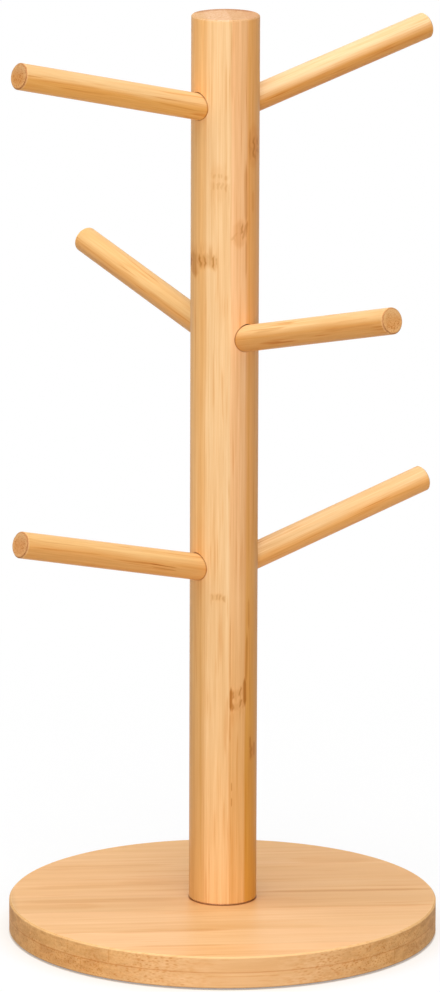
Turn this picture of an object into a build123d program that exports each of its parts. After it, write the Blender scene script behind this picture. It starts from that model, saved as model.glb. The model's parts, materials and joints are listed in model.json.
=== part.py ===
from build123d import *
from math import cos, radians, sin
import os

# Tree-shaped stand for hanging jewellery: a round two-ply base board, a round post bolted to it
# from below, and six plain round branches that slope up out of blind holes in the post.
# Millimetres and degrees. The origin is on the post's axis, on the surface that the stand rests on.
# +Z points up, -Y is the front and -X the left.

# ---- base board ----
BASE_DIAMETER = 190.0
PLY_THICKNESS = 7.1
BASE_RIM_CHAMFER = 0.7  # round the top
BASE_FOOT_CHAMFER = 0.3  # round the underside

# ---- foot pads, stuck to the underside ----
PAD_DIAMETER = 12.0
PAD_THICKNESS = 0.8
PAD_EDGE_FILLET = 0.3
PAD_INSET = 20.0  # from the base's rim to the middle of a pad

# ---- post ----
POST_DIAMETER = 30.0
POST_LENGTH = 398.0
POST_TOP_CHAMFER = 0.6
POST_FOOT_CHAMFER = 0.8

# ---- branches ----
BRANCH_DIAMETER = 11.7
BRANCH_EXPOSED_LENGTH = 98.0  # along the branch's axis, from the post's surface to the tip
BRANCH_TILT = 13.8  # above the horizontal
BRANCH_END_CHAMFER = 0.6
SOCKET_RADIAL_CLEARANCE = 0.25
SOCKET_LOWER_GAP = 0.1  # a branch lies low in its socket: its gap is wider above than below
SOCKET_FLOOR_TO_POST_AXIS = 4.5  # wood left between two opposite sockets, halved

# Depth of each tier below the post's top, where its branches' axes cross the post's axis.
TOP_TIER_DEPTH = 42.7
MIDDLE_TIER_DEPTH = 145.0
BOTTOM_TIER_DEPTH = 248.3

# Turn of each branch about the post, from the front (-Y) towards the left (-X).
TOP_LEFT_TURN = 53.3
TOP_RIGHT_TURN = 233.5
MIDDLE_LEFT_TURN = 145.4
MIDDLE_RIGHT_TURN = -40.7
BOTTOM_LEFT_TURN = 53.2
BOTTOM_RIGHT_TURN = 233.9

# ---- bolt, washer and threaded insert: an M6 button-head set ----
BOLT_DIAMETER = 6.0
BOLT_LENGTH = 25.0  # under the head
BOLT_TIP_CHAMFER = 0.8
HEAD_DIAMETER = 10.5
HEAD_HEIGHT = 3.3
HEAD_EDGE_FILLET = 1.8
HEX_ACROSS_FLATS = 4.0
HEX_DEPTH = 2.0
WASHER_DIAMETER = 14.0
WASHER_THICKNESS = 1.2
INSERT_DIAMETER = 10.0
INSERT_LENGTH = 13.0
INSERT_RECESS = 0.5  # how far the insert lies inside the post's foot
THREAD_CLEARANCE = 0.05
BOLT_HOLE_CLEARANCE = 0.5
INSERT_HOLE_CLEARANCE = 0.05
BOLT_TIP_ROOM = 2.0  # empty depth of the hole beyond the bolt's tip
COUNTERBORE_DIAMETER = 16.0
COUNTERBORE_DEPTH = 5.5

# ---- worked out from the sizes above ----
base_radius = BASE_DIAMETER / 2
post_radius = POST_DIAMETER / 2
branch_radius = BRANCH_DIAMETER / 2
bolt_radius = BOLT_DIAMETER / 2
underside_height = PAD_THICKNESS
seam_height = underside_height + PLY_THICKNESS
base_top_height = seam_height + PLY_THICKNESS
post_top_height = base_top_height + POST_LENGTH
washer_seat_height = underside_height + COUNTERBORE_DEPTH
head_seat_height = washer_seat_height - WASHER_THICKNESS
bolt_tip_height = head_seat_height + BOLT_LENGTH
insert_height = base_top_height + INSERT_RECESS
bolt_hole_radius = bolt_radius + BOLT_HOLE_CLEARANCE

BRANCHES = {
    "branch_top_left": (TOP_TIER_DEPTH, TOP_LEFT_TURN),
    "branch_top_right": (TOP_TIER_DEPTH, TOP_RIGHT_TURN),
    "branch_middle_left": (MIDDLE_TIER_DEPTH, MIDDLE_LEFT_TURN),
    "branch_middle_right": (MIDDLE_TIER_DEPTH, MIDDLE_RIGHT_TURN),
    "branch_bottom_left": (BOTTOM_TIER_DEPTH, BOTTOM_LEFT_TURN),
    "branch_bottom_right": (BOTTOM_TIER_DEPTH, BOTTOM_RIGHT_TURN),
}
PAD_TURNS = {
    "foot_pad_front_left": 45.0,
    "foot_pad_rear_left": 135.0,
    "foot_pad_rear_right": 225.0,
    "foot_pad_front_right": 315.0,
}


def save(piece, name):
    """Name a finished piece and write it as parts/<name>.step."""
    piece.part.label = name
    export_step(piece.part, f"parts/{name}.step")


def toward(turn, tilt=0.0):
    """Direction at a turn from the front towards the left, tilted up from the horizontal."""
    level = cos(radians(tilt))
    return Vector(-sin(radians(turn)) * level, -cos(radians(turn)) * level, sin(radians(tilt)))


def branch_plane(tier_depth, turn, rise=0.0):
    """Plane square to a branch's axis, on the floor of its socket, raised square to that axis."""
    direction = toward(turn, BRANCH_TILT)
    crossing = Vector(0, 0, post_top_height - tier_depth)
    raised = toward(turn, BRANCH_TILT + 90) * rise
    return Plane(origin=crossing + direction * SOCKET_FLOOR_TO_POST_AXIS + raised, z_dir=direction)


def base_ply(floor_height):
    """One round ply of the base board, with the bolt's clearance hole and counterbore."""
    with BuildPart() as ply:
        with BuildSketch(Plane.XY.offset(floor_height)):
            Circle(base_radius)
        extrude(amount=PLY_THICKNESS)
        if floor_height > underside_height:
            chamfer(ply.faces().sort_by(Axis.Z)[-1].edges(), BASE_RIM_CHAMFER)
        else:
            chamfer(ply.faces().sort_by(Axis.Z)[0].edges(), BASE_FOOT_CHAMFER)
        with BuildSketch(Plane.XY.offset(floor_height)):
            Circle(bolt_hole_radius)
        extrude(amount=PLY_THICKNESS, mode=Mode.SUBTRACT)
        with BuildSketch(Plane.XY.offset(underside_height)):
            Circle(COUNTERBORE_DIAMETER / 2)
        extrude(amount=COUNTERBORE_DEPTH, mode=Mode.SUBTRACT)
    return ply


def make_post():
    """Round post, with a stepped hole in its foot and six sloping sockets for the branches."""
    with BuildPart() as post:
        with BuildSketch(Plane.XY.offset(base_top_height)):
            Circle(post_radius)
        extrude(amount=POST_LENGTH)
        chamfer(post.faces().sort_by(Axis.Z)[-1].edges(), POST_TOP_CHAMFER)
        chamfer(post.faces().sort_by(Axis.Z)[0].edges(), POST_FOOT_CHAMFER)
        with BuildSketch(Plane.XY.offset(base_top_height)):
            Circle(INSERT_DIAMETER / 2 + INSERT_HOLE_CLEARANCE)
        extrude(amount=INSERT_RECESS + INSERT_LENGTH, mode=Mode.SUBTRACT)
        with BuildSketch(Plane.XY.offset(base_top_height)):
            Circle(bolt_hole_radius)
        extrude(amount=bolt_tip_height + BOLT_TIP_ROOM - base_top_height, mode=Mode.SUBTRACT)
        for tier_depth, turn in BRANCHES.values():
            with BuildSketch(branch_plane(tier_depth, turn, SOCKET_RADIAL_CLEARANCE - SOCKET_LOWER_GAP)):
                Circle(branch_radius + SOCKET_RADIAL_CLEARANCE)
            extrude(amount=POST_DIAMETER, mode=Mode.SUBTRACT)
    return post


def make_branch(tier_depth, turn):
    """Plain dowel from the floor of its socket to its tip, with both ends chamfered."""
    length = post_radius / cos(radians(BRANCH_TILT)) + BRANCH_EXPOSED_LENGTH - SOCKET_FLOOR_TO_POST_AXIS
    with BuildPart() as branch:
        with BuildSketch(branch_plane(tier_depth, turn)):
            Circle(branch_radius)
        extrude(amount=length)
        chamfer(branch.edges().filter_by(GeomType.CIRCLE), BRANCH_END_CHAMFER)
    return branch


def make_bolt():
    """Button-head bolt with a hexagon socket, its head down in the counterbore."""
    with BuildPart() as bolt:
        with BuildSketch(Plane.XY.offset(head_seat_height - HEAD_HEIGHT)):
            Circle(HEAD_DIAMETER / 2)
        extrude(amount=HEAD_HEIGHT)
        fillet(bolt.faces().sort_by(Axis.Z)[0].edges(), HEAD_EDGE_FILLET)
        with BuildSketch(Plane.XY.offset(head_seat_height)):
            Circle(bolt_radius)
        extrude(amount=BOLT_LENGTH)
        chamfer(bolt.faces().sort_by(Axis.Z)[-1].edges(), BOLT_TIP_CHAMFER)
        with BuildSketch(Plane.XY.offset(head_seat_height - HEAD_HEIGHT)):
            RegularPolygon(HEX_ACROSS_FLATS / 2, side_count=6, major_radius=False)
        extrude(amount=HEX_DEPTH, mode=Mode.SUBTRACT)
    return bolt


def make_ring(floor_height, outer_radius, inner_radius, height):
    """Plain round ring on the post's axis."""
    with BuildPart() as ring:
        with BuildSketch(Plane.XY.offset(floor_height)):
            Circle(outer_radius)
            Circle(inner_radius, mode=Mode.SUBTRACT)
        extrude(amount=height)
    return ring


def make_pad(turn):
    """Thin round foot pad under the base board, with its lower edge rounded."""
    with BuildPart() as pad:
        with BuildSketch(Plane.XY.move(Location(toward(turn) * (base_radius - PAD_INSET)))):
            Circle(PAD_DIAMETER / 2)
        extrude(amount=PAD_THICKNESS)
        fillet(pad.faces().sort_by(Axis.Z)[0].edges(), PAD_EDGE_FILLET)
    return pad


os.makedirs("parts", exist_ok=True)

save(base_ply(underside_height), "base_bottom_ply")
save(base_ply(seam_height), "base_top_ply")
save(make_post(), "post")
for name, (tier_depth, turn) in BRANCHES.items():
    save(make_branch(tier_depth, turn), name)
save(make_bolt(), "base_bolt")
save(make_ring(head_seat_height, WASHER_DIAMETER / 2, bolt_hole_radius, WASHER_THICKNESS), "bolt_washer")
save(make_ring(insert_height, INSERT_DIAMETER / 2, bolt_radius + THREAD_CLEARANCE, INSERT_LENGTH), "post_insert")
for name, turn in PAD_TURNS.items():
    save(make_pad(turn), name)
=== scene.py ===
"""Finish, floor, light and camera for a bamboo jewelry tree stand, laid out as a Blender add-on.

The stand has a round two-ply base, a round laminated post and six dowel branches. Positions are in
metres in the model's own frame: +Z up, -Y the front. Wood grain is worked out in millimetres.
"""

import json
from functools import partial, wraps
from math import cos, radians, sin

import bmesh
import bpy
from bpy.props import FloatProperty, FloatVectorProperty, PointerProperty
from mathutils import Matrix, Vector


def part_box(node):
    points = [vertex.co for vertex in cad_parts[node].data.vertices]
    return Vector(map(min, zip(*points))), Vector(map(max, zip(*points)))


bl_info = {
    "name": "Jewelry Tree Stand",
    "version": (1, 0, 0),
    "blender": (4, 5, 0),
    "location": "3D View > Sidebar > Stand",
    "description": "Finishes the base, post, branches and fixings of a bamboo jewelry tree stand",
    "category": "Object",
}

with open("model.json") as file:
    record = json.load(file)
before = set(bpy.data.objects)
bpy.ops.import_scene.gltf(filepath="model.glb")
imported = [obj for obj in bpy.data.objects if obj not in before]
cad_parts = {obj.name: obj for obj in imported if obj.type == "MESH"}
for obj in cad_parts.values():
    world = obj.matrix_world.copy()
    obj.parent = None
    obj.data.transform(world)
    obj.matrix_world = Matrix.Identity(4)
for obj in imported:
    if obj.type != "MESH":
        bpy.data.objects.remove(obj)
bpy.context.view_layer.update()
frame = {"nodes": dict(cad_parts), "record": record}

MM = 1000.0  # millimetres in a metre
FAR = 1000.0  # millimetres, further than any edge of the wood
ORIGIN = (0.0, 0.0, 0.0)
WHITE = (1.0, 1.0, 1.0)
BRANCHES = [name for name in frame["nodes"] if name.startswith("branch_")]


def from_screen(red, green, blue):
    """Linear colour from screen values of 0 to 255."""
    return tuple(((level / 255 + 0.055) / 1.055) ** 2.4 for level in (red, green, blue))


# ---- settings ----


def colour_setting(label, note, red, green, blue):
    """A colour that a user may change, given in screen values."""
    return FloatVectorProperty(
        name=label, description=note, subtype="COLOR", size=3, min=0.0, max=1.0,
        default=from_screen(red, green, blue),
    )


class BambooSettings(bpy.types.PropertyGroup):
    """Colours and grain of the bamboo."""

    fibre_colour: colour_setting("Fibre", "Tint of dark fibres in the wood", 222, 186, 136)
    knuckle_colour: colour_setting("Knuckle", "Tint of the culm's knuckle marks", 182, 141, 30)
    glue_colour: colour_setting("Glue line", "Tint of the line between glued strips", 214, 172, 128)
    end_colour: colour_setting("End grain", "Wood cut across its fibres", 206, 143, 86)
    # Painted highlight: the pale colour laid along the pieces' edges, where the chamfers catch the
    # light. It also tints the pale ring inside a branch's cut end.
    rim_colour: colour_setting("Rim highlight", "Pale wood along sanded edges", 250, 210, 150)
    # Painted shade: the tint of the dark lines painted round the sockets, where a piece meets the post,
    # along the base's foot and along the post top's rear. It also tints the dark line inside a branch's
    # cut end.
    scorch_colour: colour_setting("Scorch", "Tint of the line round a joint or a cut end", 150, 108, 70)
    grain_turn: FloatProperty(
        name="Grain turn", description="Turn of the glued strips about the post's axis",
        subtype="ANGLE", default=radians(5.7),
    )
    roughness: FloatProperty(
        name="Roughness", description="Roughness of the satin oil finish", subtype="FACTOR",
        default=0.42, min=0.0, max=1.0,
    )


class FixingSettings(bpy.types.PropertyGroup):
    """Colours of the bolt, washer, threaded insert and foot pads."""

    zinc_colour: colour_setting("Zinc", "Zinc-plated steel of bolt and washer", 198, 202, 208)
    brass_colour: colour_setting("Brass", "Brass of the threaded insert", 206, 168, 92)
    rubber_colour: colour_setting("Rubber", "Rubber of the foot pads", 38, 37, 36)


class StageSettings(bpy.types.PropertyGroup):
    """Floor, lamps and camera."""

    floor_colour: colour_setting("Floor", "Floor as it lights the stand", 168, 168, 168)
    key_power: FloatProperty(
        name="Key lamp", description="Power of the large lamp in front", subtype="POWER",
        unit="POWER", default=20.0, min=0.0,
    )
    fill_strength: FloatProperty(
        name="Surroundings", description="Strength of the pale surroundings", default=0.24, min=0.0,
    )
    camera_place: FloatVectorProperty(
        name="Camera", description="Place of the camera", subtype="XYZ", unit="LENGTH", size=3,
        default=(0.0, -3.443942, 1.00801),
    )
    camera_aim: FloatVectorProperty(
        name="Aim", description="Point that the camera looks at", subtype="XYZ", unit="LENGTH",
        size=3, default=(-0.001726, 0.0, 0.198256),
    )
    camera_lean: FloatProperty(
        name="Lean", description="Camera's lean about its line of sight", subtype="ANGLE",
        default=radians(0.198),
    )
    lens: FloatProperty(
        name="Lens", description="Focal length for a 36 mm frame height", subtype="DISTANCE_CAMERA",
        default=291.64,
    )


# ---- node shorthand ----


def plug(tree, socket, value):
    """Join an output to a socket, or set the socket's own value."""
    if isinstance(value, bpy.types.NodeSocket):
        tree.links.new(value, socket)
    elif socket.type == "RGBA" and len(value) == 3:
        socket.default_value = (*value, 1.0)
    else:
        socket.default_value = value


def feed(tree, node, values):
    """Join outputs to a node's sockets, or set their values, by name or number."""
    for key, value in values.items():
        plug(tree, node.inputs[key], value)


def place(tree, kind, values=None, **settings):
    """Add a node with its settings, and with its sockets by name or number."""
    node = tree.nodes.new(kind)
    for key, setting in settings.items():
        setattr(node, key, setting)
    feed(tree, node, values or {})
    return node


def calc(operation, tree, *values, clamp=False):
    """Output of a Math node."""
    return place(
        tree, "ShaderNodeMath", dict(enumerate(values)), operation=operation, use_clamp=clamp
    ).outputs[0]


# Sums, each one Math node of a tree.
plus = partial(calc, "ADD")
minus = partial(calc, "SUBTRACT")
times = partial(calc, "MULTIPLY")
ratio = partial(calc, "DIVIDE")
scaled = partial(calc, "MULTIPLY_ADD")  # the first by the second, and the third added
power = partial(calc, "POWER")
larger = partial(calc, "MAXIMUM")
smaller = partial(calc, "MINIMUM")
magnitude = partial(calc, "ABSOLUTE")
exceeds = partial(calc, "GREATER_THAN")


def vector_calc(tree, operation, *values):
    """Output of a Vector Math node, which is a number for a length or a dot product."""
    node = place(tree, "ShaderNodeVectorMath", dict(enumerate(values)), operation=operation)
    return node.outputs["Value" if operation in ("LENGTH", "DOT_PRODUCT") else "Vector"]


def combine(tree, x, y, z):
    """Vector from three numbers."""
    return place(tree, "ShaderNodeCombineXYZ", {"X": x, "Y": y, "Z": z}).outputs[0]


def fade(tree, value, start, end, low=0.0, high=1.0):
    """Smooth change from low to high while a value goes from start to end."""
    values = dict(enumerate((value, start, end, low, high)))
    return place(tree, "ShaderNodeMapRange", values, interpolation_type="SMOOTHSTEP").outputs[0]


def mix(tree, factor, first, second, blend="MIX"):
    """Two colours mixed."""
    values = {0: factor, 6: first, 7: second}
    return place(tree, "ShaderNodeMix", values, data_type="RGBA", blend_type=blend).outputs[2]


def stain(tree, colour, amount, tint):
    """A colour under a stain, which shows first in its blue and last in its red."""
    reach = combine(tree, power(tree, amount, 1.25), amount, power(tree, amount, 0.9))
    values = {1: reach, 4: WHITE, 5: tint}
    tinted = place(tree, "ShaderNodeMix", values, data_type="VECTOR", factor_mode="NON_UNIFORM")
    return mix(tree, 1.0, colour, tinted.outputs[1], "MULTIPLY")


def noise(tree, vector, scale=1.0, detail=1.0, roughness=0.5):
    """Smooth noise of about 0 to 1."""
    values = {"Vector": vector, "Scale": scale, "Detail": detail, "Roughness": roughness}
    return place(tree, "ShaderNodeTexNoise", values).outputs[0]


def object_spot(tree):
    """Where a point is, in metres from the origin of its object."""
    return place(tree, "ShaderNodeTexCoord").outputs["Object"]


def build_group(name, inputs, fill):
    """A new node group with these inputs, and with the nodes and outputs that fill gives it."""
    tree = bpy.data.node_groups.new(name, "ShaderNodeTree")
    for label, default in inputs.items():
        kind = "NodeSocketFloat"
        if not isinstance(default, float):
            kind = "NodeSocketVector" if len(default) == 3 else "NodeSocketColor"
        socket = tree.interface.new_socket(name=label, in_out="INPUT", socket_type=kind)
        socket.default_value = default
    results = fill(tree, tree.nodes.new("NodeGroupInput").outputs)
    for label in results:
        kind = "NodeSocketColor" if label == "Color" else "NodeSocketFloat"
        tree.interface.new_socket(name=label, in_out="OUTPUT", socket_type=kind)
    place(tree, "NodeGroupOutput", results)
    return tree


def shared_effect(inputs):
    """Turn a function that fills a node group into one that places the group, built only once."""

    def decorate(fill):
        name = fill.__name__.replace("_", " ").title()

        @wraps(fill)
        def place_group(tree, values):
            group = bpy.data.node_groups.get(name) or build_group(name, inputs, fill)
            return place(tree, "ShaderNodeGroup", values, node_tree=group).outputs

        return place_group

    return decorate


# ---- shared wood effects: positions in metres, all other distances in millimetres ----

AXES = ("Along", "Across", "Through")
AXIS_INPUTS = dict.fromkeys(AXES, 0.0)
MOST_EDGES = 7  # between the strips of one piece
EDGE_LABELS = [f"Edge {number + 1}" for number in range(MOST_EDGES)]

# Waves in a millimetre of what bends edges, dashes, streaks and the line of a cut end.
WANDER_SCALE = 0.02
DASH_BEND_SCALE = 0.3
SWAY_SCALE = 0.09
CUT_LINE_SCALE = 0.7
WISPS_ACROSS, WISPS_ALONG = 1.1, 0.07  # in a millimetre

# Levels of the noise between which veins and the patches of veins and bundles set in.
VEIN_EDGE = (0.56, 0.72)
VEIN_PATCH = (0.46, 0.62)
BUNDLE_PATCH = (0.4, 0.56, 0.25, 1.0)

DASH_JAG = 2.6  # millimetres that the dashes of a knuckle are out of line
SWAY = 0.4  # of a streak's half width
CUT_LINE_DEPTH = 0.45  # in from the edge of a cut end
CUT_LINE_WAVER = 0.5


@shared_effect({
    "Position": ORIGIN, "Normal": (0.0, 0.0, 1.0), "Start": ORIGIN, "Along Axis": (0.0, 0.0, 1.0),
    "Across Axis": (1.0, 0.0, 0.0), "Through Axis": (0.0, 1.0, 0.0),
})
def grain_axes(tree, into):
    """Distances along, across and through the strips, and how squarely the surface cuts them."""
    offset = vector_calc(tree, "SUBTRACT", into["Position"], into["Start"])
    results = {}
    for label in AXES:
        reach = vector_calc(tree, "DOT_PRODUCT", offset, into[label + " Axis"])
        results[label] = times(tree, reach, MM)
    facing = vector_calc(tree, "DOT_PRODUCT", into["Normal"], into["Along Axis"])
    return {**results, "End Grain": magnitude(tree, facing)}


@shared_effect({
    "Across": 0.0, "Along": 0.0, "Wander": 0.3, "Softness": 0.3, "First Softness": 0.3,
    **dict.fromkeys(EDGE_LABELS, FAR),
})
def strip_layout(tree, into):
    """Number of the strip that a point is in, its tone and how far the nearest strip edge is."""
    bend = noise(tree, combine(tree, into["Across"], into["Along"], 0.0), scale=WANDER_SCALE)
    across = plus(tree, into["Across"], times(tree, minus(tree, bend, 0.5), into["Wander"]))
    strip, tone, joint = 0.0, 0.0, FAR
    for label in EDGE_LABELS:
        beyond = minus(tree, across, into[label])
        softness = into["First Softness" if label == EDGE_LABELS[0] else "Softness"]
        strip = plus(tree, strip, exceeds(tree, beyond, 0.0))
        tone = plus(tree, tone, fade(tree, ratio(tree, beyond, softness), -1.0, 1.0))
        joint = smaller(tree, joint, magnitude(tree, beyond))
    return {"Strip": strip, "Tone": tone, "Joint": joint}


@shared_effect({
    **AXIS_INPUTS, "Seed": 0.0, "Fibre Width": 0.45, "Fibre Length": 30.0, "Bundle Width": 0.85,
    "Bundle Length": 24.0,
})
def bamboo_fibre(tree, into):
    """Fine fibres, broad streaks, clouds, dark veins and fibre bundles, drawn out along the grain."""

    def drawn_out(width, length):
        across = plus(tree, ratio(tree, into["Across"], width), into["Seed"])
        through = ratio(tree, into["Through"], width)
        return combine(tree, across, through, ratio(tree, into["Along"], length))

    def fibres(width_share, length_share, **look):
        width = times(tree, into["Fibre Width"], width_share)
        length = times(tree, into["Fibre Length"], length_share)
        return noise(tree, drawn_out(width, length), **look)

    fine = fibres(1.0, 1.0, detail=3.0, roughness=0.65)
    cloud = fibres(20.0, 1.8, detail=2.0)
    patches = fade(tree, fibres(11.0, 1.1), *VEIN_PATCH)
    vein = times(tree, fade(tree, fibres(1.7, 1.3), *VEIN_EDGE), patches)
    spot = drawn_out(into["Bundle Width"], into["Bundle Length"])
    cells = place(tree, "ShaderNodeTexVoronoi", {"Vector": spot, "Scale": 1.0}, voronoi_dimensions="3D")
    dots = fade(tree, cells.outputs["Distance"], 0.15, 0.5, 1.0, 0.0)
    bundle = times(tree, dots, fade(tree, cloud, *BUNDLE_PATCH))
    return {"Fine": fine, "Broad": fibres(3.4, 4.0), "Cloud": cloud, "Vein": vein, "Bundle": bundle}


@shared_effect({"Across": 0.0, "Along": 0.0, "Seed": 0.0, "Spacing": 1.8, "Bend": 2.4})
def dash_columns(tree, into):
    """Narrow columns across a strip, each with a shift along the grain and a weight of its own."""
    bends = noise(tree, combine(tree, into["Across"], into["Along"], 0.0), scale=DASH_BEND_SCALE)
    bent = scaled(tree, minus(tree, bends, 0.5), into["Bend"], into["Across"])
    columns = ratio(tree, bent, into["Spacing"])
    number = plus(tree, calc("FLOOR", tree, columns), into["Seed"])
    chance = place(tree, "ShaderNodeTexWhiteNoise", {"W": number}, noise_dimensions="1D")
    parts = place(tree, "ShaderNodeSeparateColor", {0: chance.outputs["Color"]}).outputs
    middle = scaled(tree, parts[0], 0.36, 0.32)
    off = magnitude(tree, minus(tree, calc("FRACT", tree, columns), middle))
    return {
        "Column": fade(tree, off, 0.06, 0.42, 1.0, 0.0),
        "Shift": minus(tree, parts[1], 0.5),
        "Weight": fade(tree, parts[2], 0.05, 0.7, 0.3, 1.0),
    }


def on_side(tree, into):
    """One on the chosen side of the piece and nought on the other."""
    return exceeds(tree, times(tree, into["Through"], into["Side"]), 0.0)


@shared_effect({
    **AXIS_INPUTS, "Shift": 0.0, "Centre": 0.0, "Height": 0.0, "Half Width": 4.0, "Half Height": 3.0,
    "Arc": 0.0, "Strength": 1.0, "Flare Length": -10.0, "Side": -1.0, "Core So Far": 0.0,
    "Flare So Far": 0.0,
})
def knuckle_mark(tree, into):
    """Window of one knuckle mark: its band across a strip, and the fibres that flare beyond it."""
    wide = minus(tree, into["Across"], into["Centre"])
    wide = magnitude(tree, ratio(tree, wide, into["Half Width"]))
    rise = times(tree, times(tree, wide, wide), into["Arc"])
    level = minus(tree, minus(tree, into["Along"], into["Height"]), rise)
    jagged = scaled(tree, into["Shift"], DASH_JAG, level)
    tall = ratio(tree, magnitude(tree, jagged), into["Half Height"])
    sized = times(tree, on_side(tree, into), into["Strength"])
    window = times(tree, fade(tree, wide, 0.85, 1.12, 1.0, 0.0), sized)
    core = times(tree, window, fade(tree, tall, 0.3, 1.2, 1.0, 0.0))
    beyond = ratio(tree, level, into["Flare Length"])
    flare = times(tree, window, fade(tree, beyond, 0.0, 0.1))
    flare = times(tree, flare, fade(tree, beyond, 0.2, 1.0, 1.0, 0.0))
    return {
        "Core": larger(tree, core, into["Core So Far"]),
        "Flare": larger(tree, flare, into["Flare So Far"]),
    }


@shared_effect({**AXIS_INPUTS, "Column": 0.0, "Weight": 1.0, "Core": 0.0, "Flare": 0.0})
def knuckle_grain(tree, into):
    """Short dark dashes inside the knuckle marks with a soft halo, and faint wisps in their flares."""
    across, through = (times(tree, into[label], WISPS_ACROSS) for label in ("Across", "Through"))
    wisps = noise(tree, combine(tree, across, through, times(tree, into["Along"], WISPS_ALONG)))
    dashes = times(tree, into["Column"], into["Weight"])
    dark = times(tree, fade(tree, dashes, 0.0, 1.0, 0.36, 1.0), into["Core"])
    faint = times(tree, fade(tree, wisps, 0.46, 0.66, 0.06, 0.5), into["Flare"])
    return {"Mark": larger(tree, dark, faint)}


@shared_effect({**AXIS_INPUTS, "Side": 1.0})
def streak_sway(tree, into):
    """How far a streak sways from its line, and whether a point is on the streak's side."""
    bend = noise(tree, combine(tree, into["Along"], into["Across"], 0.0), scale=SWAY_SCALE)
    return {"Sway": scaled(tree, bend, SWAY, -SWAY / 2), "Near": on_side(tree, into)}


@shared_effect({
    "Along": 0.0, "Across": 0.0, "Sway": 0.0, "First Along": 0.0, "First Across": 0.0,
    "Last Along": 1.0, "Last Across": 0.0, "Half Width": 1.0, "Strength": 0.5, "So Far": 0.0,
})
def wood_streak(tree, into):
    """One soft streak between two points of a strip, tapered at its ends."""
    gone = minus(tree, into["Along"], into["First Along"])
    share = ratio(tree, gone, minus(tree, into["Last Along"], into["First Along"]))
    drift = minus(tree, into["Last Across"], into["First Across"])
    middle = scaled(tree, drift, share, into["First Across"])
    off = ratio(tree, minus(tree, into["Across"], middle), into["Half Width"])
    off = magnitude(tree, plus(tree, off, into["Sway"]))
    belly = times(tree, share, minus(tree, 1.0, share))
    off = times(tree, off, fade(tree, belly, 0.0, 0.2, 3.0, 1.0))
    streak = fade(tree, off, 0.1, 1.0, into["Strength"], 0.0)
    streak = times(tree, streak, fade(tree, belly, 0.0, 0.18))
    return {"Streak": larger(tree, streak, into["So Far"])}


@shared_effect({"First Side": 0.0, "Second Side": 0.0, "End Grain": 0.0, "Edge Radius": 5.0})
def cut_end(tree, into):
    """Dark line just inside the edge of a cut end, and the paler ring inside that line."""
    spot = combine(tree, into["First Side"], into["Second Side"], 0.0)
    uneven = noise(tree, spot, scale=CUT_LINE_SCALE)
    inward = minus(tree, into["Edge Radius"], vector_calc(tree, "LENGTH", spot))
    inward = scaled(tree, minus(tree, uneven, 0.5), CUT_LINE_WAVER, inward)
    flat = fade(tree, into["End Grain"], 0.55, 0.68)
    off = magnitude(tree, minus(tree, inward, CUT_LINE_DEPTH))
    line = fade(tree, off, 0.05, CUT_LINE_DEPTH, 1.0, 0.0)
    ring = times(tree, fade(tree, inward, 0.8, 1.2), fade(tree, inward, 1.4, 2.6, 1.0, 0.0))
    return {"Line": times(tree, line, flat), "Ring": times(tree, ring, flat)}


@shared_effect({
    "Position": ORIGIN, "Middle": ORIGIN, "Direction": (1.0, 0.0, 0.0), "Radius": 6.0,
    "Width": 0.5, "Furthest": -60.0, "So Far": 0.0,
})
def socket_shade_line(tree, into):
    """Painted shade: dark line on the post round one socket, from the line of the branch in it."""
    offset = vector_calc(tree, "SUBTRACT", into["Position"], into["Middle"])
    along = vector_calc(tree, "DOT_PRODUCT", offset, into["Direction"])
    beside = vector_calc(tree, "CROSS_PRODUCT", offset, into["Direction"])
    reach = times(tree, vector_calc(tree, "LENGTH", beside), MM)
    outward = ratio(tree, minus(tree, reach, into["Radius"]), into["Width"])
    near = exceeds(tree, times(tree, along, MM), into["Furthest"])
    line = times(tree, fade(tree, outward, 0.0, 1.0, 1.0, 0.0), near)
    return {"Line": larger(tree, line, into["So Far"])}


@shared_effect({"Position": ORIGIN, "Post Radius": 15.0, "Width": 0.8})
def post_contact_shade(tree, into):
    """Painted shade: dark line on a branch or on the base where it meets the post."""
    reach = vector_calc(tree, "MULTIPLY", into["Position"], (MM, MM, 0.0))
    reach = vector_calc(tree, "LENGTH", reach)
    gap = ratio(tree, minus(tree, reach, into["Post Radius"]), into["Width"])
    return {"Contact": fade(tree, gap, 0.0, 1.0, 1.0, 0.0)}


@shared_effect({
    "First Side": 0.0, "Second Side": 0.0, "Height": 0.0, "Rim Radius": 10.0, "Rim Height": 0.0,
    "Width": 0.9,
})
def rim_highlight(tree, into):
    """Mask of a painted highlight along the edge of a round piece, from two sides of its radius and its
    height.
    """
    reach = vector_calc(tree, "LENGTH", combine(tree, into["First Side"], into["Second Side"], 0.0))
    inward = minus(tree, into["Rim Radius"], reach)
    level = magnitude(tree, minus(tree, into["Height"], into["Rim Height"]))
    edge = ratio(tree, larger(tree, inward, level), into["Width"])
    return {"Rim": fade(tree, edge, 0.9, 1.15, 1.0, 0.0)}


@shared_effect({
    "Strip Colour": (0.8, 0.5, 0.25, 1.0), "Fibre Colour": (0.4, 0.2, 0.05, 1.0),
    "Knuckle Colour": (0.3, 0.1, 0.03, 1.0), "Glue Colour": (0.5, 0.25, 0.1, 1.0),
    "End Colour": (0.6, 0.3, 0.1, 1.0), "Rim Colour": (1.0, 0.7, 0.4, 1.0),
    "Scorch Colour": (0.2, 0.06, 0.01, 1.0), "Fine": 0.5, "Broad": 0.5, "Cloud": 0.5,
    "Vein": 0.0, "Bundle": 0.0, "Joint": FAR, "End Grain": 0.0, "Knuckle": 0.0, "Rim": 0.0,
    "Scorch": 0.0, "Fine Strength": 0.16, "Broad Strength": 0.2, "Cloud Strength": 0.14,
    "Vein Strength": 0.25, "Bundle Strength": 0.12, "Speckle Strength": 0.5, "Cut Grain": 0.1,
    "End Strength": 0.7, "Glue Width": 0.25, "Glue Strength": 0.5, "Rim Strength": 0.3,
    "Base Roughness": 0.4,
})
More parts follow.
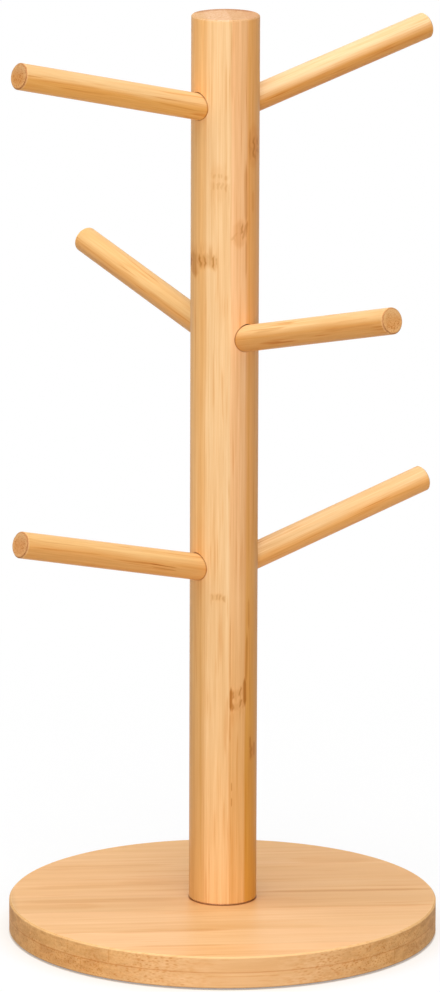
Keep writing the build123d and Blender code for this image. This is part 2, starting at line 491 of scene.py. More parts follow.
def bamboo_tone(tree, into):
    """Colour, roughness and surface height of oiled bamboo from its strips, fibres and marks, with a
    painted highlight along its edges and painted shade round its joints.
    """
    ends = fade(tree, into["End Grain"], 0.25, 0.75)
    cut = fade(tree, into["End Grain"], 0.06, 0.4)
    fine = scaled(tree, cut, into["Cut Grain"], into["Fine Strength"])
    level = scaled(tree, minus(tree, into["Fine"], 0.5), fine, 1.0)
    for label in ("Broad", "Cloud"):
        level = scaled(tree, minus(tree, into[label], 0.5), into[label + " Strength"], level)
    at_end = times(tree, ends, into["End Strength"])
    colour = mix(tree, at_end, into["Strip Colour"], into["End Colour"])
    # Darker wood is also more orange.
    warm = combine(tree, power(tree, level, 0.5), level, power(tree, level, 1.75))
    colour = mix(tree, 1.0, colour, warm, "MULTIPLY")
    # The dark marks tint the wood beneath them.
    vein = times(tree, into["Vein"], into["Vein Strength"])
    colour = stain(tree, colour, vein, into["Fibre Colour"])
    speckle = plus(tree, times(tree, cut, into["Speckle Strength"]), into["Bundle Strength"])
    dots = times(tree, into["Bundle"], speckle, clamp=True)
    colour = stain(tree, colour, dots, into["Fibre Colour"])
    glue = fade(tree, ratio(tree, into["Joint"], into["Glue Width"]), 0.4, 1.2, 1.0, 0.0)
    glue = times(tree, glue, into["Glue Strength"])
    colour = stain(tree, colour, glue, into["Glue Colour"])
    mark = smaller(tree, into["Knuckle"], 1.0)
    colour = stain(tree, colour, mark, into["Knuckle Colour"])
    # Painted highlight along the edges.
    painted_highlight = times(tree, into["Rim"], into["Rim Strength"])
    colour = mix(tree, painted_highlight, colour, into["Rim Colour"])
    # Painted shade round joints and along edges, and the dark line inside a cut end.
    colour = stain(tree, colour, into["Scorch"], into["Scorch Colour"])
    rough = scaled(tree, minus(tree, into["Fine"], 0.5), 0.25, into["Base Roughness"])
    rough = scaled(tree, mark, 0.1, scaled(tree, ends, 0.15, rough))
    # The marks are flush with the wood, and in the height they would make the shader too large.
    height = scaled(tree, into["Broad"], 0.4, times(tree, into["Fine"], 0.3))
    height = minus(tree, height, times(tree, glue, 0.8))
    height = minus(tree, height, times(tree, dots, 0.3))
    return {"Color": colour, "Roughness": rough, "Height": height}


# ---- bamboo materials ----

FRONT, BACK = -1.0, 1.0  # sides of the post

# Strip edges of the post, in millimetres across its section, and the tone of each strip.
POST_EDGES = (-9.6, 1.3, 8.4)
POST_TONES = ((245, 188, 120), (247, 201, 145), (248, 192, 136), (240, 173, 100))
POST_FOOT_SHADED_TONES = ((225, 171, 104), (243, 194, 135), (234, 178, 111), (220, 155, 66))
POST_END_TONES = ((218, 174, 128), (226, 182, 142), (214, 166, 120), (210, 160, 116))
POST_FOOT_SHADE_FADE = (230.0, 40.0)  # heights between which the tones change to the painted shade of the foot, warmed as by light off the base
POST_TOP_EDGE = (6.0, 2.0)  # in from the edge of the top, where its painted shade starts and is full
POST_TOP_REAR = (3.0, 9.0)  # behind the middle, likewise
POST_TOP_PAINTED_SHADE = 0.5

# Strip edges of the base's plies, in millimetres from the middle towards the back.
TOP_PLY_EDGES = (-75.8, -52.3, -20.0, 5.3, 22.0, 51.5, 77.0)
BOTTOM_PLY_EDGES = (-65.3, -40.0, -15.0, 10.0, 35.5, 60.5, 84.0)
PLY_TONES = ((243, 188, 130), (242, 192, 137), (236, 185, 128), (229, 178, 120),
             (234, 183, 125), (233, 180, 121), (233, 181, 123), (233, 182, 123))

# Knuckle marks of the post: their centres are across its strips. A flare of negative length lies
# below its mark.
KNUCKLE_COLUMNS = ("Centre", "Height", "Half Width", "Half Height", "Arc", "Strength",
                   "Flare Length", "Side")
POST_KNUCKLES = (
    (-3.6, 344.0, 4.0, 1.4, 0.0, 0.3, 8.0, FRONT),
    (-3.5, 339.6, 4.3, 2.3, 0.0, 0.3, -17.0, FRONT),
    (7.0, 319.8, 1.6, 3.4, 0.0, 0.6, -4.0, FRONT),
    (4.8, 317.0, 3.6, 1.8, 0.0, 0.26, -6.0, FRONT),
    (11.4, 356.5, 2.4, 6.4, 0.0, 0.65, -6.0, FRONT),
    (-10.2, 306.3, 5.4, 3.8, -1.0, 0.85, 10.0, FRONT),
    (-3.9, 155.6, 3.4, 1.8, 0.0, 0.38, -7.0, FRONT),
    (5.0, 112.0, 3.3, 2.6, 0.0, 0.6, -8.0, FRONT),
    (4.6, 106.3, 3.2, 2.4, 1.2, 0.6, -14.0, FRONT),
    (12.0, 84.5, 1.4, 3.8, 0.0, 0.45, -6.0, FRONT),
    (-4.2, 262.0, 4.0, 1.6, 1.0, 0.7, -12.0, BACK),
    (4.8, 196.0, 3.2, 2.0, -1.0, 0.7, 10.0, BACK),
    (-11.5, 118.0, 2.6, 2.6, 0.0, 0.6, -9.0, BACK),
    (11.0, 330.0, 2.6, 3.0, 0.0, 0.6, 8.0, BACK),
    (-3.8, 66.0, 4.2, 1.8, 1.2, 0.7, -10.0, BACK),
)

# Streaks of the post, all on the front: along is the height.
STREAK_COLUMNS = ("First Along", "First Across", "Last Along", "Last Across", "Half Width",
                  "Strength")
POST_STREAKS = (
    (369.0, 11.3, 344.0, 11.3, 3.2, 0.2),
    (364.0, 12.8, 347.0, 12.4, 0.8, 0.3),
    (326.0, 5.4, 311.0, 5.0, 4.2, 0.24),
    (315.4, 1.2, 320.0, 4.6, 1.5, 0.3),
    (320.0, 4.0, 316.0, 6.8, 1.5, 0.28),
    (314.6, 6.0, 324.6, 8.8, 1.3, 0.48),
    (351.0, -3.6, 331.0, -3.6, 4.8, 0.1),
    (412.0, 1.4, 372.0, 1.7, 0.9, 0.2),
    (352.0, 7.8, 319.0, 8.0, 1.1, 0.4),
    (366.0, 9.7, 348.0, 10.2, 1.2, 0.3),
    (318.0, 8.0, 297.0, 8.1, 0.8, 0.3),
    (338.0, 11.3, 326.0, 11.3, 1.0, 0.2),
    (311.0, -14.4, 297.0, -13.4, 1.8, 0.55),
    (156.0, 9.9, 139.0, 10.0, 0.7, 0.3),
    (141.0, 9.4, 113.0, 8.7, 0.9, 0.45),
    (120.0, 8.2, 104.5, 8.2, 1.3, 0.8),
    (116.0, 1.9, 103.0, 1.9, 1.0, 0.85),
    (105.0, 1.6, 88.0, 1.6, 0.6, 0.3),
    (92.0, 11.0, 85.0, 11.0, 0.6, 0.5),
    (89.0, 13.0, 81.0, 13.0, 0.6, 0.5),
    (72.0, 2.3, 67.0, 2.4, 0.4, 0.45),
    (65.0, 2.4, 60.0, 2.4, 0.4, 0.45),
    (150.0, 1.5, 112.0, 1.5, 0.4, 0.35),
)

# Streaks and clouds of the base's plies, from the middle of the base.
TOP_PLY_STREAKS = (
    (8.0, 6.4, 104.0, 4.0, 3.2, 0.35),
    (-104.0, -1.0, -8.0, -2.7, 5.0, 0.16),
    (-98.0, 19.5, -6.0, 23.2, 4.2, 0.2),
    (-82.0, 54.4, -12.0, 53.3, 3.4, 0.19),
    (-64.0, -53.2, 4.0, -52.6, 2.6, 0.27),
    (-50.0, -74.8, 0.0, -75.8, 2.2, 0.19),
    (10.0, -18.2, 98.0, -21.1, 2.8, 0.16),
    (-14.0, -46.5, 46.0, -50.3, 4.2, 0.11),
    (-100.0, -9.0, -50.0, -11.0, 7.0, 0.14),
    (-50.0, 24.0, -2.0, 24.0, 9.0, 0.11),
    (34.0, 57.0, 76.0, 55.0, 9.0, 0.11),
)
BOTTOM_PLY_STREAKS = (
    (-94.0, -34.0, -60.0, -74.0, 7.0, 0.16),
    (-50.0, -20.0, 40.0, -22.0, 3.0, 0.2),
    (-30.0, 44.0, 62.0, 46.0, 2.5, 0.2),
)
BASE_END_TONES = ((221, 157, 87), (240, 180, 109))  # dark and pale patches round the base's edge
BASE_DRIFT = (-90.0, 90.0, 1.03, 0.96)  # from and to, and the share of the colour kept there
BASE_LEFT_END = (-94.4, -91.0, 0.88, 1.0)
BASE_FOOT_SHADE = (0.9, 1.8, 0.3, 0.0)  # from and to, and the strength there of the dark line of painted shade along the base's foot
BASE_JOINT_MARGIN = 0.18  # millimetres that keep the joints between strips fainter than the seam
BASE_PATCH_SCALE = 0.12  # patches in a millimetre
BASE_PATCH_SQUEEZE = 3.0  # how much lower than long a patch is
BASE_PATCH_FADE = (0.38, 0.62)

# A branch is painted paler along its top as a highlight: its own tone below and the painted highlight's
# tone above an edge that lies over its axis.
BRANCH_WOOD_AND_HIGHLIGHT_TONES = {
    "branch_top_left": ((241, 173, 91), (240, 194, 135)),
    "branch_top_right": ((235, 164, 86), (246, 205, 153)),
    "branch_middle_left": ((238, 174, 101), (235, 187, 124)),
    "branch_middle_right": ((229, 164, 91), (243, 198, 138)),
    "branch_bottom_left": ((238, 172, 98), (239, 191, 127)),
    "branch_bottom_right": ((250, 182, 105), (246, 200, 143)),
}
# Cut ends that differ from the colour of the settings.
BRANCH_END_COLOURS = {
    "branch_top_left": (197, 136, 80),
    "branch_middle_right": (215, 155, 95),
    "branch_bottom_left": (208, 146, 93),
}
BRANCH_HIGHLIGHT_EDGE = 2.0
BRANCH_HIGHLIGHT_EDGES = {"branch_top_left": 1.2, "branch_top_right": 1.7}  # edges that lie lower

# Streaks of the branches, all on the side that faces the front: along is from the middle of the
# free length, and across is the height over the axis.
BRANCH_STREAKS = {
    "branch_top_left": (
        (50.0, 0.2, 4.0, 0.8, 0.65, 0.18),
        (47.0, 1.8, 16.0, 2.1, 0.45, 0.1),
        (34.0, -1.6, 0.0, -1.2, 0.6, 0.2),
        (-16.0, 1.6, -50.0, 0.6, 0.6, 0.18),
        (-18.0, -0.6, -49.0, -1.8, 0.5, 0.24),
    ),
    "branch_top_right": (
        (-50.0, -0.5, -2.0, 0.6, 0.6, 0.2),
        (6.0, -1.6, 49.0, -1.0, 0.6, 0.2),
    ),
    "branch_middle_left": (
        (49.0, 1.0, 8.0, 0.2, 0.5, 0.16),
        (-6.0, 1.6, -50.0, 1.0, 0.75, 0.2),
    ),
    "branch_middle_right": (
        (-40.0, 2.0, -14.0, 3.2, 0.8, 0.26),
        (-32.0, -3.6, -10.0, -3.2, 0.65, 0.26),
        (6.0, -0.8, 49.0, -0.2, 0.9, 0.24),
        (16.0, 2.4, 42.0, 2.8, 0.5, 0.16),
    ),
    "branch_bottom_left": (
        (-17.0, -0.4, -36.0, -1.0, 0.4, 0.6),
        (-18.0, -1.7, -36.0, -2.3, 0.4, 0.5),
        (48.0, 3.0, 8.0, 3.4, 0.35, 0.26),
        (50.0, 0.2, 2.0, 0.8, 0.5, 0.26),
    ),
    "branch_bottom_right": (
        (0.0, 0.8, 49.0, -0.4, 0.65, 0.16),
        (-49.0, -1.0, -8.0, -0.4, 0.6, 0.2),
    ),
}

# Values of the shared effects on each kind of piece.
POST_STRIPS = {"Wander": 1.4, "Softness": 0.8, "First Softness": 1.8}
BASE_STRIPS = {"Wander": 3.0, "Softness": 0.8, "First Softness": 0.8}
# On a branch the layout places the painted highlight along its top.
BRANCH_HIGHLIGHT_BAND = {"Wander": 1.6, "First Softness": 2.0}
BASE_FIBRE = {
    "Fibre Width": 0.8, "Fibre Length": 40.0, "Bundle Width": 0.9, "Bundle Length": 6.0,
}
BRANCH_FIBRE = {"Fibre Width": 0.55, "Fibre Length": 26.0}
POST_FINISH = {
    "End Strength": 0.9, "Rim Strength": 0.08, "Glue Width": 0.3, "Glue Strength": 0.1,
    "Fine Strength": 0.43, "Broad Strength": 0.4, "Vein Strength": 0.4,
}
BASE_FINISH = {
    "Rim Strength": 0.3, "Glue Width": 0.35, "Glue Strength": 0.42, "Fine Strength": 0.21,
    "Broad Strength": 0.24, "Cloud Strength": 0.27, "Bundle Strength": 0.0,
    "Speckle Strength": 0.65, "Cut Grain": 0.4, "Vein Strength": 0.4,
}
BRANCH_FINISH = {
    "Rim Strength": 0.3, "Glue Strength": 0.0, "Fine Strength": 0.5, "Broad Strength": 0.26,
    "Speckle Strength": 1.0, "Cut Grain": 0.8, "Vein Strength": 0.7,
}
BASE_CONTACT_SHADE = (0.6, 0.7)  # width and strength of the painted shade round the post
BRANCH_CONTACT_SHADE = (0.7, 0.45)
CUT_END_STRENGTH = 0.6
# Painted shade round the sockets on the post.
SOCKET_SHADE_STRENGTH = 0.2
SOCKET_SHADE_REACH = 12.0  # millimetres from a branch's root towards the post's axis
WOOD_SPECULAR = 0.12
GRAIN_BUMP = {"Strength": 0.1, "Distance": 0.0002}

# Steps of the noise's seed from one strip, ply or branch to the next.
POST_SEED_STEP = 7.3
BASE_SEED_STEP = 5.7
PLY_SEEDS = (3.1, 23.1)
BRANCH_SEED_STEP = 11.0
DASH_SEED_STEP = 40.0


def new_material(name):
    """An empty material with its Principled shader on its output."""
    material = bpy.data.materials.new(name)
    material.use_nodes = True
    tree = material.node_tree
    tree.nodes.clear()
    shader = place(tree, "ShaderNodeBsdfPrincipled")
    place(tree, "ShaderNodeOutputMaterial", {"Surface": shader.outputs[0]})
    return material, tree, shader


def strip_ramp(tree, tone, tones):
    """Colour of a strip by its tone, blended where two strips meet."""
    last = len(tones) - 1
    node = place(tree, "ShaderNodeValToRGB", {0: ratio(tree, tone, float(last))})
    stops = node.color_ramp.elements
    while len(stops) < len(tones):
        stops.new(1.0)
    for number, colour in enumerate(tones):
        stops[number].position = number / last
        stops[number].color = (*from_screen(*colour), 1.0)
    return node.outputs[0]


def grain_of(tree, start, along, across):
    """Grain axes of a piece from a point on it and two directions."""
    spot = place(tree, "ShaderNodeTexCoord").outputs
    return grain_axes(tree, {
        "Position": spot["Object"], "Normal": spot["Normal"], "Start": start,
        "Along Axis": along, "Across Axis": across, "Through Axis": along.cross(across),
    })


def axes_of(grain):
    """Distances along, across and through the strips, as an effect takes them."""
    return {label: grain[label] for label in AXES}


def layout_of(tree, across, along, edges, values):
    """Strips between the given edges; on a branch, its own tone and its painted highlight."""
    return strip_layout(tree, {
        "Across": across, "Along": along, **dict(zip(EDGE_LABELS, edges)), **values,
    })


def streaks_of(tree, axes, streaks, side):
    """Streaks of one side of a piece, from a list of them."""
    sway = streak_sway(tree, {**axes, "Side": side})
    line = {"Along": axes["Along"], "Across": axes["Across"], "Sway": sway["Sway"], "So Far": 0.0}
    for row in streaks:
        line["So Far"] = wood_streak(tree, {**line, **dict(zip(STREAK_COLUMNS, row))})["Streak"]
    return times(tree, line["So Far"], sway["Near"])


def knuckles_of(tree, axes, strip):
    """Dashes, halos and flares of the post's knuckle marks."""
    columns = dash_columns(tree, {
        "Across": axes["Across"], "Along": axes["Along"], "Seed": times(tree, strip, DASH_SEED_STEP),
    })
    core, flare = 0.0, 0.0
    for row in POST_KNUCKLES:
        window = knuckle_mark(tree, {
            **axes, **dict(zip(KNUCKLE_COLUMNS, row)), "Shift": columns["Shift"],
            "Core So Far": core, "Flare So Far": flare,
        })
        core, flare = window["Core"], window["Flare"]
    return knuckle_grain(tree, {
        **axes, "Column": columns["Column"], "Weight": columns["Weight"], "Core": core,
        "Flare": flare,
    })["Mark"]


def socket_shade_lines(tree):
    """Painted shade: dark lines on the post round its six sockets."""
    spot = object_spot(tree)
    line = 0.0
    for name in BRANCHES:
        middle, along, sizes = branch_line(name)
        line = socket_shade_line(tree, {
            "Position": spot, "Middle": middle, "Direction": along, "Radius": sizes["r_mm"],
            "Furthest": -sizes["length_mm"] / 2 - SOCKET_SHADE_REACH, "So Far": line,
        })["Line"]
    return line


def contact_shade_of(tree, width, strength):
    """Painted shade: dark line where a piece meets the post."""
    low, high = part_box("post")
    line = post_contact_shade(tree, {
        "Position": object_spot(tree), "Post Radius": (high.x - low.x) / 2 * MM, "Width": width,
    })
    return times(tree, line["Contact"], strength)


def finish_wood(tree, shader, settings, colour, grain, fibre, effects):
    """Join strips, fibres and marks to the shader, with this wood's own strengths."""
    values = {
        "Strip Colour": colour, "Base Roughness": settings.roughness,
        "End Grain": grain["End Grain"],
    }
    for label in ("Fibre", "Knuckle", "Glue", "End", "Rim", "Scorch"):
        values[label + " Colour"] = getattr(settings, label.lower() + "_colour")
    for label in ("Fine", "Broad", "Cloud", "Vein", "Bundle"):
        values[label] = fibre[label]
    tone = bamboo_tone(tree, {**values, **effects})
    bump = place(tree, "ShaderNodeBump", {"Height": tone["Height"], **GRAIN_BUMP})
    feed(tree, shader, {
        "Base Color": tone["Color"], "Roughness": tone["Roughness"], "Normal": bump.outputs[0],
        "Specular IOR Level": WOOD_SPECULAR,
    })


def make_post_bamboo(settings):
    """Turned post of four upright strips, with knuckle marks, a painted highlight round its top edge
    and painted shade along the top's rear.
    """
    material, tree, shader = new_material("post_bamboo_laminate")
    low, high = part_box("post")
    radius = (high.x - low.x) / 2 * MM
    across = Vector((cos(settings.grain_turn), sin(settings.grain_turn), 0.0))
    grain = grain_of(tree, Vector(ORIGIN), Vector((0, 0, 1)), across)
    axes = axes_of(grain)
    layout = layout_of(tree, grain["Across"], grain["Along"], POST_EDGES, POST_STRIPS)
    # Painted shade: the tones grow darker and more orange towards the foot, warmed as by light thrown
    # back from the base.
    colour = mix(
        tree, fade(tree, grain["Along"], *POST_FOOT_SHADE_FADE),
        strip_ramp(tree, layout["Tone"], POST_TONES),
        strip_ramp(tree, layout["Tone"], POST_FOOT_SHADED_TONES),
    )
    fibre = bamboo_fibre(tree, {**axes, "Seed": times(tree, layout["Strip"], POST_SEED_STEP)})
    knuckles = knuckles_of(tree, axes, layout["Strip"])
    rim = rim_highlight(tree, {
        "First Side": grain["Across"], "Second Side": grain["Through"], "Height": grain["Along"],
        "Rim Radius": radius, "Rim Height": high.z * MM,
    })
    # Painted shade: the top darkens along its rear edge.
    reach = vector_calc(tree, "LENGTH", combine(tree, grain["Across"], grain["Through"], 0.0))
    inward = minus(tree, radius, reach)
    rear_shade = times(tree, fade(tree, inward, *POST_TOP_EDGE), fade(tree, grain["Through"], *POST_TOP_REAR))
    rear_shade = times(tree, rear_shade, fade(tree, grain["End Grain"], 0.6, 0.9, 0.0, POST_TOP_PAINTED_SHADE))
    # Painted shade round the sockets.
    sockets = times(tree, socket_shade_lines(tree), SOCKET_SHADE_STRENGTH)
    finish_wood(tree, shader, settings, colour, grain, fibre, {
        **POST_FINISH, "Joint": layout["Joint"], "Rim": rim["Rim"],
        "End Colour": strip_ramp(tree, layout["Tone"], POST_END_TONES),
        "Knuckle": larger(tree, knuckles, streaks_of(tree, axes, POST_STREAKS, FRONT)),
        "Scorch": larger(tree, sockets, rear_shade),
    })
    return material


def make_base_bamboo(name, settings, edges, streaks, seed):
    """One ply of the base, its flat strips side by side."""
    material, tree, shader = new_material("base_bamboo_" + name)
    low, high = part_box(name)
    along = Vector((cos(settings.grain_turn), sin(settings.grain_turn), 0.0))
    across = Vector((-sin(settings.grain_turn), cos(settings.grain_turn), 0.0))
    grain = grain_of(tree, Vector(ORIGIN), along, across)
    axes = axes_of(grain)
    layout = layout_of(tree, grain["Across"], grain["Along"], edges, BASE_STRIPS)
    # The colour is made a little darker towards the right, and at the far left end.
    drift = times(tree, fade(tree, grain["Along"], *BASE_DRIFT),
                  fade(tree, grain["Along"], *BASE_LEFT_END))
    colour = strip_ramp(tree, layout["Tone"], PLY_TONES)
    colour = mix(tree, 1.0, colour, combine(tree, drift, drift, drift), "MULTIPLY")
    seed = scaled(tree, layout["Strip"], BASE_SEED_STEP, seed)
    fibre = bamboo_fibre(tree, {**axes, **BASE_FIBRE, "Seed": seed})
    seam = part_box("base_top_ply")[0].z * MM
    rim = rim_highlight(tree, {
        "First Side": grain["Along"], "Second Side": grain["Across"], "Height": grain["Through"],
        "Rim Radius": (high.x - low.x) / 2 * MM,
        "Rim Height": (high.z if name == "base_top_ply" else low.z) * MM, "Width": 1.0,
    })
    # The seam is a clear line round the edge; the joints between strips are faint.
    seam_gap = magnitude(tree, minus(tree, grain["Through"], seam))
    joint = smaller(tree, plus(tree, layout["Joint"], BASE_JOINT_MARGIN), seam_gap)
    squeezed = times(tree, grain["Through"], BASE_PATCH_SQUEEZE)
    spot = combine(tree, grain["Along"], grain["Across"], squeezed)
    patch = fade(tree, noise(tree, spot, BASE_PATCH_SCALE, detail=2.0), *BASE_PATCH_FADE)
    dark, pale = (from_screen(*tone) for tone in BASE_END_TONES)
    # Painted shade: a dark line along the base's foot, just over the floor.
    foot = fade(tree, grain["Through"], *BASE_FOOT_SHADE)
    finish_wood(tree, shader, settings, colour, grain, fibre, {
        **BASE_FINISH, "End Colour": mix(tree, patch, dark, pale), "Joint": joint,
        "Rim": rim["Rim"], "Knuckle": streaks_of(tree, axes, streaks, BACK),
        "Scorch": larger(tree, contact_shade_of(tree, *BASE_CONTACT_SHADE), foot),
    })
    return material


def branch_line(name):
    """Middle of a branch's free length, its direction and its sizes, from the mount on it."""
    for mount in frame["record"]["mounts"]:
        if mount["name"] == name + "_peg":
            return Vector(mount["pos_m"]), Vector(mount["axis"]).normalized(), mount["dims"]
    raise RuntimeError(f"{name} has no mount")


def make_branch_bamboo(name, settings, seed):
    """Branch turned from one piece, its grain along its own axis."""
    material, tree, shader = new_material("branch_bamboo_" + name)
    middle, along, sizes = branch_line(name)
    across = along.cross(Vector((0, 0, 1))).normalized()
    grain = grain_of(tree, middle, along, across)
    # Painted highlight: the branch's paler tone above the edge, where the light falls.
    height = times(tree, grain["Through"], -1.0)
    edge = BRANCH_HIGHLIGHT_EDGES.get(name, BRANCH_HIGHLIGHT_EDGE)
    layout = layout_of(tree, height, grain["Along"], (edge,), BRANCH_HIGHLIGHT_BAND)
    colour = strip_ramp(tree, layout["Tone"], BRANCH_WOOD_AND_HIGHLIGHT_TONES[name])
    fibre = bamboo_fibre(tree, {**axes_of(grain), **BRANCH_FIBRE, "Seed": seed})
    sides = {"First Side": grain["Across"], "Second Side": grain["Through"]}
    rim = rim_highlight(tree, {
        **sides, "Height": grain["Along"], "Rim Radius": sizes["r_mm"],
        "Rim Height": sizes["length_mm"] / 2,
    })
    cut = cut_end(tree, {
        **sides, "End Grain": grain["End Grain"], "Edge Radius": sizes["r_mm"],
    })
    outline, pale = (times(tree, cut[label], CUT_END_STRENGTH) for label in ("Line", "Ring"))
    upright = {"Along": grain["Along"], "Across": height, "Through": grain["Across"]}
    near = FRONT if across.y > 0.0 else BACK
    end_colour = settings.end_colour
    if name in BRANCH_END_COLOURS:
        end_colour = from_screen(*BRANCH_END_COLOURS[name])
    finish_wood(tree, shader, settings, colour, grain, fibre, {
        **BRANCH_FINISH, "End Colour": end_colour, "Rim": larger(tree, rim["Rim"], pale),
        "Knuckle": streaks_of(tree, upright, BRANCH_STREAKS[name], near),
        "Scorch": larger(tree, contact_shade_of(tree, *BRANCH_CONTACT_SHADE), outline),
    })
    return material


def dress(node, material):
    """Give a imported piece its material."""
    frame["nodes"][node].material_slots[0].material = material


class STAND_OT_base(bpy.types.Operator):
    """Finish the two plies of the round base in bamboo"""

    bl_idname = "stand.base"
    bl_label = "Base plies"

    def execute(self, context):
        settings = context.scene.stand_bamboo
        plies = (
            ("base_top_ply", TOP_PLY_EDGES, TOP_PLY_STREAKS),
            ("base_bottom_ply", BOTTOM_PLY_EDGES, BOTTOM_PLY_STREAKS),
        )
        for (name, edges, streaks), seed in zip(plies, PLY_SEEDS):
            dress(name, make_base_bamboo(name, settings, edges, streaks, seed))
        return {"FINISHED"}


class STAND_OT_post(bpy.types.Operator):
    """Finish the post in laminated bamboo"""

    bl_idname = "stand.post"
    bl_label = "Post"

    def execute(self, context):
        dress("post", make_post_bamboo(context.scene.stand_bamboo))
        return {"FINISHED"}


class STAND_OT_branches(bpy.types.Operator):
    """Finish the six branches in bamboo"""

    bl_idname = "stand.branches"
    bl_label = "Branches"

    def execute(self, context):
        settings = context.scene.stand_bamboo
        for number, name in enumerate(BRANCHES):
            dress(name, make_branch_bamboo(name, settings, BRANCH_SEED_STEP * number))
        return {"FINISHED"}


# ---- metal and rubber fixings ----


METAL_GRAIN, RUBBER_GRAIN = 4000.0, 3000.0  # marks in a metre
SMEAR_SIZE = 12.0  # of a handling mark, in widths of the grain
SMEAR_LEVELS = (0.86, 1.06)  # shares of the colour in and out of a smear
FIXING_BUMP = {"Strength": 0.2, "Distance": 0.00005}


def make_fixing(name, colour, metallic, roughness, scale):
    """Metal or rubber with fine handling marks."""
    material, tree, shader = new_material(name)
    spot = object_spot(tree)
    grain = noise(tree, spot, scale=scale, detail=3.0)
    level = fade(tree, noise(tree, spot, scale=scale / SMEAR_SIZE), 0.3, 0.7, *SMEAR_LEVELS)
    shade = mix(tree, 1.0, colour, combine(tree, level, level, level), "MULTIPLY")
    bump = place(tree, "ShaderNodeBump", {"Height": grain, **FIXING_BUMP})
    feed(tree, shader, {
        "Base Color": shade, "Metallic": metallic, "Normal": bump.outputs[0],
        "Roughness": fade(tree, grain, 0.2, 0.8, roughness - 0.08, roughness + 0.1),
    })
    return material


class STAND_OT_fixings(bpy.types.Operator):
    """Finish the bolt, washer and threaded insert"""

    bl_idname = "stand.fixings"
    bl_label = "Bolt, washer and insert"

    def execute(self, context):
        settings = context.scene.stand_fixings
        zinc = make_fixing("zinc_plate", settings.zinc_colour, 1.0, 0.34, METAL_GRAIN)
        brass = make_fixing("insert_brass_bare", settings.brass_colour, 1.0, 0.3, METAL_GRAIN)
        dress("base_bolt", zinc)
        dress("bolt_washer", zinc)
        dress("post_insert", brass)
        return {"FINISHED"}


class STAND_OT_pads(bpy.types.Operator):
    """Finish the four foot pads in rubber"""

    bl_idname = "stand.pads"
    bl_label = "Foot pads"

    def execute(self, context):
        colour = context.scene.stand_fixings.rubber_colour
        rubber = make_fixing("pad_rubber_matt", colour, 0.0, 0.78, RUBBER_GRAIN)
        for name in frame["nodes"]:
            if name.startswith("foot_pad_"):
                dress(name, rubber)
        return {"FINISHED"}


# ---- floor, lamps and camera ----

FLOOR_RADIUS = 14.0
FLOOR_SHADOW_SHARE = 0.22  # how much of the floor's own light and shadow shows beside the stand
FLOOR_SHADOW_REACH = (0.12, 0.55)  # from the stand's middle, where that share starts to fade and ends
FLOOR_CONTACT_REACH = 0.0004  # from the base's edge outward, where its contact shadow shows in full
FLOOR_UNDER_BASE = 0.3  # share of plain white in the shadow under the base's edge
FLOOR_BOUNCE_REACH = 0.012  # from the base's edge outward, where its shadow is warmed by painted bounce light
FLOOR_BOUNCE_TINT = (0.95, 0.74, 0.5)
FLOOR_PALE = (0.95, 0.95, 0.95)
LAMP_AIM = (0.0, 0.0, 0.2)
LAMPS = {  # place, width, height, share of the key's power, and whether it shows as gloss
    "key_lamp": ((0.0, -2.0, 0.56), 1.2, 1.0, 1.0, True),
    "top_lamp": ((0.0, -0.6, 3.2), 2.4, 2.4, 3.95, True),
    "left_lamp": ((-1.2, -0.5, 1.4), 1.2, 1.2, 0.25, True),
    "back_lamp": ((0.0, 2.2, 0.5), 1.2, 0.9, 0.45, False),
}


def make_floor(colour):
    """A wide pale floor that reads as white and keeps the stand's shadow."""
    mesh = bpy.data.meshes.new("floor")
    shape = bmesh.new()
    bmesh.ops.create_circle(shape, cap_ends=True, segments=96, radius=FLOOR_RADIUS)
    shape.to_mesh(mesh)
    shape.free()
    floor = bpy.data.objects.new("floor", mesh)
    bpy.context.scene.collection.objects.link(floor)
    material, tree, shader = new_material("floor_paper")
    output = next(node for node in tree.nodes if node.type == "OUTPUT_MATERIAL")
    feed(tree, shader, {"Base Color": colour, "Roughness": 0.9, "Specular IOR Level": 0.0})
    glow = place(tree, "ShaderNodeEmission", {"Color": WHITE, "Strength": 1.0})
    reach = vector_calc(tree, "LENGTH", object_spot(tree))
    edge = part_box("base_bottom_ply")[1].x
    plain = fade(tree, reach, *FLOOR_SHADOW_REACH, 1.0 - FLOOR_SHADOW_SHARE, 1.0)
    under = fade(tree, reach, edge, edge + FLOOR_CONTACT_REACH, FLOOR_UNDER_BASE, 1.0)
    plain = smaller(tree, plain, under)
    # Painted bounce light: the floor's colour is warmed near the base, as light that the base throws
    # back would warm its shadow.
    tint = mix(tree, fade(tree, reach, edge, edge + FLOOR_BOUNCE_REACH), FLOOR_BOUNCE_TINT, FLOOR_PALE)
    paper = place(tree, "ShaderNodeBsdfDiffuse", {"Color": tint})
    seen = place(tree, "ShaderNodeMixShader", {0: plain, 1: paper.outputs[0], 2: glow.outputs[0]})
    path = place(tree, "ShaderNodeLightPath").outputs
    direct = larger(tree, path["Is Camera Ray"], path["Is Glossy Ray"])
    split = place(tree, "ShaderNodeMixShader", {0: direct, 1: shader.outputs[0], 2: seen.outputs[0]})
    plug(tree, output.inputs["Surface"], split.outputs[0])
    mesh.materials.append(material)


def make_lamp(name, spot, width, height, power, gloss):
    """A large soft lamp aimed at the stand."""
    data = bpy.data.lights.new(name, "AREA")
    data.shape = "RECTANGLE"
    data.size, data.size_y = width, height
    data.energy = power
    lamp = bpy.data.objects.new(name, data)
    lamp.location = spot
    lamp.rotation_mode = "QUATERNION"
    lamp.rotation_quaternion = (Vector(LAMP_AIM) - Vector(spot)).to_track_quat("-Z", "Y")
    lamp.visible_camera = False
    lamp.visible_glossy = gloss
    bpy.context.scene.collection.objects.link(lamp)


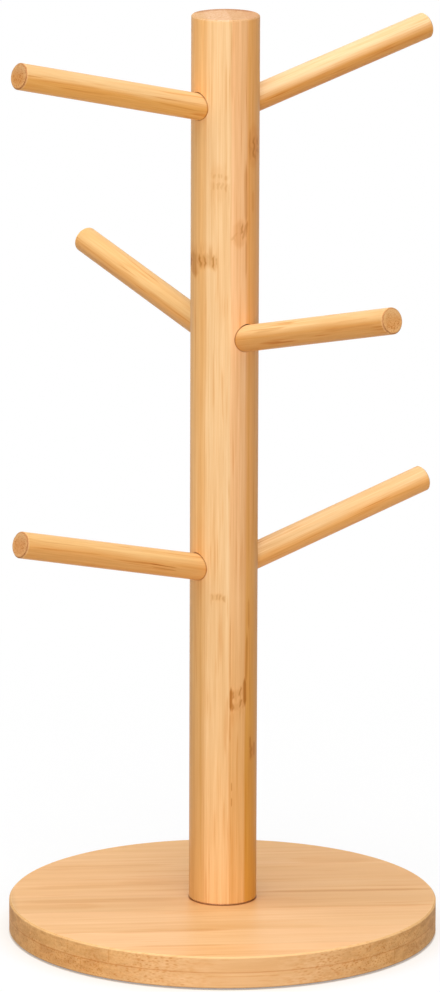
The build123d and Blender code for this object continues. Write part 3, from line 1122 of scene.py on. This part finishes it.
def make_surroundings(strength):
    """Pale surroundings: plain white where the camera, a reflection or glass looks at them."""
    world = bpy.data.worlds.new("pale_surroundings")
    world.use_nodes = True
    tree = world.node_tree
    tree.nodes.clear()
    path = place(tree, "ShaderNodeLightPath").outputs
    direct = larger(tree, path["Is Camera Ray"], path["Is Transmission Ray"])
    direct = larger(tree, direct, path["Is Glossy Ray"])
    level = fade(tree, direct, 0.0, 1.0, strength, 1.0)
    back = place(tree, "ShaderNodeBackground", {"Color": WHITE, "Strength": level})
    place(tree, "ShaderNodeOutputWorld", {"Surface": back.outputs[0]})
    bpy.context.scene.world = world


def make_camera(settings):
    """Long-lens camera a little above the stand."""
    data = bpy.data.cameras.new("camera")
    data.sensor_width = 36.0
    data.lens = settings.lens
    data.clip_end = 100.0
    camera = bpy.data.objects.new("camera", data)
    spot, aim = Vector(settings.camera_place), Vector(settings.camera_aim)
    turn = (aim - spot).to_track_quat("-Z", "Y").to_matrix().to_4x4()
    lean = Matrix.Rotation(settings.camera_lean, 4, "Z")
    camera.matrix_world = Matrix.Translation(spot) @ turn @ lean
    bpy.context.scene.collection.objects.link(camera)
    bpy.context.scene.camera = camera


class STAND_OT_stage(bpy.types.Operator):
    """Set the floor, the lamps and the camera"""

    bl_idname = "stand.stage"
    bl_label = "Floor, lamps and camera"

    def execute(self, context):
        settings = context.scene.stand_stage
        make_floor(tuple(settings.floor_colour))
        for name, (spot, width, height, share, gloss) in LAMPS.items():
            make_lamp(name, spot, width, height, settings.key_power * share, gloss)
        make_surroundings(settings.fill_strength)
        make_camera(settings)
        context.scene.view_settings.view_transform = "Standard"
        return {"FINISHED"}


# ---- add-on ----

OPERATORS = (STAND_OT_base, STAND_OT_post, STAND_OT_branches, STAND_OT_fixings, STAND_OT_pads,
             STAND_OT_stage)


class STAND_PT_panel(bpy.types.Panel):
    """Lists the steps that finish the stand"""

    bl_idname = "STAND_PT_panel"
    bl_label = "Jewelry tree stand"
    bl_space_type = "VIEW_3D"
    bl_region_type = "UI"
    bl_category = "Stand"

    def draw(self, context):
        for group in ("stand_bamboo", "stand_fixings", "stand_stage"):
            box = self.layout.box()
            settings = getattr(context.scene, group)
            for label in settings.bl_rna.properties.keys():
                if label not in ("rna_type", "name"):
                    box.prop(settings, label)
        for operator in OPERATORS:
            self.layout.operator(operator.bl_idname)


CLASSES = (BambooSettings, FixingSettings, StageSettings, *OPERATORS, STAND_PT_panel)


def register():
    """Register the classes and the settings of the scene."""
    for kind in CLASSES:
        bpy.utils.register_class(kind)
    bpy.types.Scene.stand_bamboo = PointerProperty(type=BambooSettings)
    bpy.types.Scene.stand_fixings = PointerProperty(type=FixingSettings)
    bpy.types.Scene.stand_stage = PointerProperty(type=StageSettings)


def unregister():
    """Take the settings and the classes away again."""
    del bpy.types.Scene.stand_bamboo
    del bpy.types.Scene.stand_fixings
    del bpy.types.Scene.stand_stage
    for kind in reversed(CLASSES):
        bpy.utils.unregister_class(kind)


def main():
    """Build the whole scene."""
    register()
    for step in ("base", "post", "branches", "fixings", "pads", "stage"):
        getattr(bpy.ops.stand, step)()


if __name__ == "__main__":
    main()
